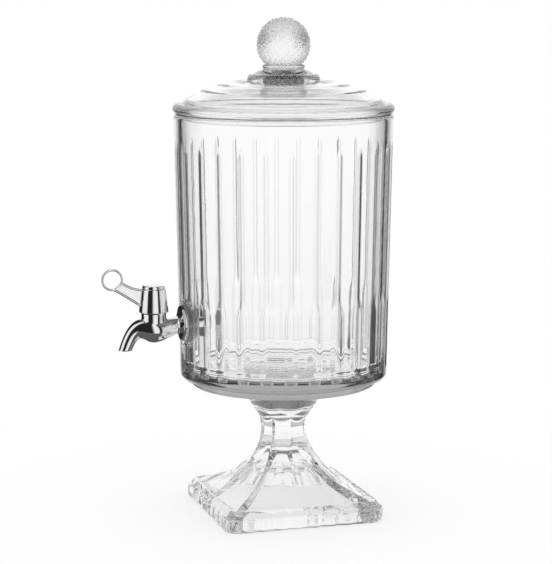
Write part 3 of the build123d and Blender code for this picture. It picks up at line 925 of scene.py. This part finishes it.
def leaf_inset(turns, height):
    """Depth of the leaf-shaped hollows on the pyramid."""
    pitch = 2 * math.pi / leaf_count
    offset = (turns + pitch / 2) % pitch - pitch / 2
    narrowed = 1 - leaf_narrowing * ease(*leaf_narrows, height)
    half_width = leaf_half_width * ease(*leaf_widens, height) * narrowed
    depth = leaf_depth * ease(*leaf_deepens, height) * (1 - ease(*leaf_ends, height))
    if half_width < least_leaf:
        return np.zeros_like(turns)
    return depth * np.maximum(1 - (offset / half_width) ** 2, 0)


def groove_inset(turns, height):
    """Depth of the scalloped groove around the collar, one scallop over each side of the stem."""
    lowest = groove_height - groove_scallop * np.abs(np.cos(4 * turns))
    return groove_depth * np.exp(-((height - lowest) / groove_width) ** 2)


def pyramid_radius(turns, height):
    """Outside radius of the collar's cone, the stem and the pyramid."""
    share = (height - cone_bottom) / (collar_edge - cone_bottom)
    radius = np.full_like(turns, cone_bottom_radius + share * (collar_radius - cone_bottom_radius))
    if height <= stem_top:
        radius = soft_higher(eight_sided(turns, *through(stem_table, height)), radius, cone_blend)
    radius = radius - leaf_inset(turns, height) - groove_inset(turns, height)
    return np.minimum(radius, rounded_square(turns, shoulder_half, shoulder_corner))


def pedestal_piece():
    """Foot: collar, eight-sided stem, fluted pyramid, wavy square edge and the hollow below."""
    turns = full_turn(foot_columns)
    collar = rounded_path([
        (axis_gap, collar_top, 0),
        (collar_radius, collar_top, collar_top_rounding),
        (collar_radius, collar_edge, collar_edge_rounding),
        (*collar_aim, 0),
    ])
    rings = lathe(collar[:-1], turns)
    for height in stem_rows:
        rings.append(ring(pyramid_radius(turns, height), height, turns))
    for height, inset in shoulder_rows:
        rings.append(ring(rounded_square(turns, foot_half - inset, shoulder_corner), height, turns))
    outline = rounded_square(turns, foot_half, foot_corner) - wave_inset(turns)
    for height, inset in edge_rows:
        rings.append(ring(outline - inset, height, turns))
    for height in hollow_rows:
        rings.append(ring(eight_sided(turns, *through(hollow_table, height)), height, turns))
    rings += lathe(hollow_top, turns)
    points, faces = shell(rings[::-1])
    return make_piece("glass_foot", points, faces, clearer_glass, "vessel", ["pedestal"], sharp_angle=60)


pedestal_object = pedestal_piece()


# Adhesive films, a hair thinner than their gaps, with edges rounded by a share of their thickness
film_gap = 0.03
film_rounding = 0.45

# Films and seals have fewer columns, and fewer steps in their arcs, than the large pieces
small_columns = 96
small_steps = 4


def bond_piece(name, node, body):
    """Thin clear disc with a rounded edge, in the gap between two glass pieces."""
    low, high = node_box(node)
    radius = high[0]
    bottom, top = low[2] + film_gap, high[2] - film_gap
    edge = (top - bottom) * film_rounding
    path = rounded_path([
        (axis_gap, bottom, 0),
        (radius, bottom, edge),
        (radius, top, edge),
        (axis_gap, top, 0),
    ], steps=small_steps)
    points, faces = shell(lathe(path, full_turn(small_columns)))
    piece = make_piece(name, points, faces, slot_materials["bond"], body, [node])


bond_piece("foot_film", "pedestal_bond", "vessel")
bond_piece("knob_film", "knob_bond", "lid_set")


# Silicone seals of the tap, pressed a little into the glass so that no air is left between
seal_bite = 0.05
seal_bore = 8.3
seal_edge = 0.15
outer_seal_radius = 15.0
inner_seal_radius = node_box("inner_gasket")[1][0]


def seal_piece(name, node, radius, glass_side):
    """Ring with rounded edges on the tap's axis; glass_side is the side on Y where the glass is."""
    low, high = node_box(node)
    front = low[1] - (seal_bite if glass_side < 0 else 0)
    back = high[1] + (seal_bite if glass_side > 0 else 0)
    path = rounded_path([
        (seal_bore, (front + back) / 2, 0),
        (seal_bore, front, seal_edge),
        (radius, front, seal_edge),
        (radius, back, seal_edge),
        (seal_bore, back, seal_edge),
    ], steps=small_steps)
    rings = []
    for upright in lathe(path, full_turn(small_columns)):
        rings.append(np.stack([upright[:, 0], upright[:, 2], tap_height + upright[:, 1]], axis=-1))
    points, faces = band(rings, wrapped=True)
    piece = make_piece(name, points, faces, slot_materials["silicone"], "vessel", [node])


seal_piece("outer_seal", "outer_gasket", outer_seal_radius, glass_side=1)
seal_piece("inner_seal", "inner_gasket", inner_seal_radius, glass_side=-1)


# Chrome castings, with their edges softened as by polishing
polish_strength = 0.5


def soften(node, grid, passes):
    """Even out a CAD node's mesh on a fine grid (metres) and smooth it."""
    casting = frame["nodes"][node]
    even = casting.modifiers.new("even", "REMESH")
    even.mode = "VOXEL"
    even.voxel_size = grid
    even.use_smooth_shade = True
    polish = casting.modifiers.new("polish", "SMOOTH")
    polish.factor = polish_strength
    polish.iterations = passes


soften("tap_body", grid=0.0003, passes=10)
soften("tap_handle", grid=0.0002, passes=5)


# Stage: levels of tone and light, as numbers or sockets
def feed(tree, socket, value):
    """Set a socket to a number, or link another socket to it."""
    if isinstance(value, (int, float)):
        socket.default_value = value
    else:
        tree.links.new(value, socket)


def mix(tree, factor, first, second):
    """Blend two levels, each a number or a socket, by a factor socket."""
    node = tree.nodes.new("ShaderNodeMix")
    for name, value in (("Factor", factor), ("A", first), ("B", second)):
        feed(tree, node.inputs[name], value)
    return node.outputs["Result"]


def math_node(tree, operation, first, second=0.0):
    """A sum, product or other function of two levels, each a number or a socket."""
    node = tree.nodes.new("ShaderNodeMath")
    node.operation = operation
    for socket, value in zip(node.inputs, (first, second)):
        feed(tree, socket, value)
    return node.outputs["Value"]


def ray_kinds(tree):
    """Sockets that tell camera rays, mirror rays from metal, and rays that come from or through glass."""
    path = tree.nodes.new("ShaderNodeLightPath").outputs
    glass_ray = math_node(tree, "MAXIMUM", path["Is Transmission Ray"], path["Is Singular Ray"])
    return path["Is Camera Ray"], path["Is Glossy Ray"], glass_ray


# Floor, in metres: its own tone, its tone and white glow before the camera, and its tones in metal and glass
floor_reach = 0.4
floor_drop = 0.0002
floor_sides = 96
floor_tone = 0.95
floor_seen = 0.3
floor_white = 0.7
floor_mirrored = 0.13
floor_through_glass = 0.3
floor_glow = 0.8


def floor_material():
    """Pale matt floor, white to the camera and greyer in reflections."""
    material, tree, shader = new_material("pale_floor")
    shader.inputs["Roughness"].default_value = 1.0
    shader.inputs["Specular IOR Level"].default_value = 0.0
    camera_ray, metal_ray, glass_ray = ray_kinds(tree)
    tone = mix(tree, camera_ray, floor_tone, floor_seen)
    tone = mix(tree, metal_ray, tone, floor_mirrored)
    tone = mix(tree, glass_ray, tone, floor_through_glass)
    tree.links.new(tone, shader.inputs["Base Color"])
    glow = mix(tree, camera_ray, 0.0, floor_white)
    glow = mix(tree, glass_ray, glow, floor_glow)
    shader.inputs["Emission Color"].default_value = (1, 1, 1, 1)
    tree.links.new(glow, shader.inputs["Emission Strength"])
    return material


def add_floor():
    """Plain floor disc, a hair below the foot."""
    mesh = bpy.data.meshes.new("floor")
    work = bmesh.new()
    bmesh.ops.create_circle(work, cap_ends=True, segments=floor_sides, radius=floor_reach)
    work.to_mesh(mesh)
    work.free()
    mesh.materials.append(floor_material())
    floor = bpy.data.objects.new("floor", mesh)
    floor.location.z = -floor_drop
    bpy.context.scene.collection.objects.link(floor)


# Camera, worked out from the photograph's perspective (metres, lens and sensor in millimetres)
view_azimuth = math.radians(73.06)
view_distance = 1.6284
view_height = 0.4409
view_pitch = math.radians(8.80)
view_yaw = math.radians(0.2125)
view_lens = 129.62
view_sensor = 36.0


def add_camera():
    """Camera at the photograph's viewpoint."""
    camera = bpy.data.objects.new("camera", bpy.data.cameras.new("camera"))
    camera.data.lens = view_lens
    camera.data.sensor_width = view_sensor
    camera.location = (
        view_distance * math.sin(view_azimuth),
        -view_distance * math.cos(view_azimuth),
        view_height,
    )
    camera.rotation_euler = (math.pi / 2 - view_pitch, 0, view_azimuth + view_yaw)
    bpy.context.scene.collection.objects.link(camera)
    bpy.context.scene.camera = camera


# Brightness of the studio around the object, in stops of (degrees, level) from the camera's side,
# anticlockwise from above: as metal mirrors it, and as glass shows it, in a low belt with dark cards
# and everywhere else
metal_surround = (
    (0, 0.6), (6, 1.0), (35, 1.0), (44, 0.03), (55, 0.03), (64, 0.4), (80, 0.5), (95, 0.15), (120, 0.1),
    (145, 0.35), (162, 1.0), (192, 1.0), (200, 0.02), (256, 0.02), (270, 1.0), (305, 1.0), (316, 0.02),
    (350, 0.02), (360, 0.6),
)
card_surround = (
    (0, 0.8), (60, 0.8), (95, 0.8), (116, 0.8), (120, 0.03), (147, 0.03), (150, 0.45), (155, 0.6),
    (160, 0.72), (165, 0.84), (170, 0.96), (190, 0.96), (195, 0.84), (200, 0.72), (204, 0.6), (207, 0.45),
    (210, 0.03), (236, 0.03), (240, 0.75), (265, 0.8), (300, 0.8), (360, 0.8),
)
open_surround = (
    (0, 0.8), (60, 0.8), (100, 0.85), (112, 0.65), (142, 0.65), (150, 0.95), (210, 0.95), (218, 0.65),
    (240, 0.65), (255, 0.85), (300, 0.8), (360, 0.8),
)

# Steepness of a direction (1 straight up, -1 straight down) where the belt of cards starts and ends,
# where the ground below darkens and where the ceiling above does, each as a fade between two values
belt_start = (-0.5, -0.25)
belt_end = (-0.05, -0.02)
ground_fade = (-0.3, -0.1)
ceiling_fade = (0.45, 0.65)
glass_below = 0.82
glass_above = 0.2
glass_light = 1.15
plain_light = 1.05


def surround(tree, turn, stops):
    """Level around the object, from stops of (degrees, level) read by a turn socket of 0 to 1."""
    ramp = tree.nodes.new("ShaderNodeValToRGB")
    elements = ramp.color_ramp.elements
    while len(elements) < len(stops):
        elements.new(1.0)
    for element, (angle, level) in zip(elements, stops):
        element.position = angle / 360
        element.color = (level, level, level, 1)
    tree.links.new(turn, ramp.inputs["Fac"])
    return ramp.outputs["Color"]


def seen_in_glass(tree, turn, steepness):
    """Level of the studio as glass shows it."""
    belt_low = between(tree, steepness, 0.0, 1.0, belt_start)
    belt_high = between(tree, steepness, 1.0, 0.0, belt_end)
    belt = math_node(tree, "MULTIPLY", belt_low, belt_high)
    level = mix(tree, belt, surround(tree, turn, open_surround), surround(tree, turn, card_surround))
    level = math_node(tree, "MULTIPLY", level, between(tree, steepness, glass_below, 1.0, ground_fade))
    level = math_node(tree, "MULTIPLY", level, between(tree, steepness, 1.0, glass_above, ceiling_fade))
    return math_node(tree, "MULTIPLY", level, glass_light)


def add_world():
    """White to the camera, a striped studio to metal and glass, plain white light to everything else."""
    world = bpy.data.worlds.new("studio")
    world.use_nodes = True
    tree = world.node_tree
    place = tree.nodes.new("ShaderNodeTexCoord")
    direction = tree.nodes.new("ShaderNodeSeparateXYZ")
    tree.links.new(place.outputs["Generated"], direction.inputs["Vector"])
    camera_turn = view_azimuth - math.pi / 2
    turn = math_node(tree, "ARCTAN2", direction.outputs["Y"], direction.outputs["X"])
    turn = math_node(tree, "SUBTRACT", turn, camera_turn)
    turn = math_node(tree, "DIVIDE", turn, 2 * math.pi)
    turn = math_node(tree, "FRACT", turn)
    camera_ray, metal_ray, glass_ray = ray_kinds(tree)
    level = mix(tree, metal_ray, plain_light, surround(tree, turn, metal_surround))
    level = mix(tree, glass_ray, level, seen_in_glass(tree, turn, direction.outputs["Z"]))
    level = mix(tree, camera_ray, level, 1.0)
    tree.links.new(level, tree.nodes["Background"].inputs["Color"])
    bpy.context.scene.world = world


# How often light may pass through glass, and how often it may be mirrored
glass_bounces = 24
mirror_bounces = 12

add_floor()
add_world()
add_camera()
bpy.context.scene.view_settings.view_transform = "Standard"
bpy.context.scene.cycles.max_bounces = glass_bounces
bpy.context.scene.cycles.transmission_bounces = glass_bounces
bpy.context.scene.cycles.glossy_bounces = mirror_bounces
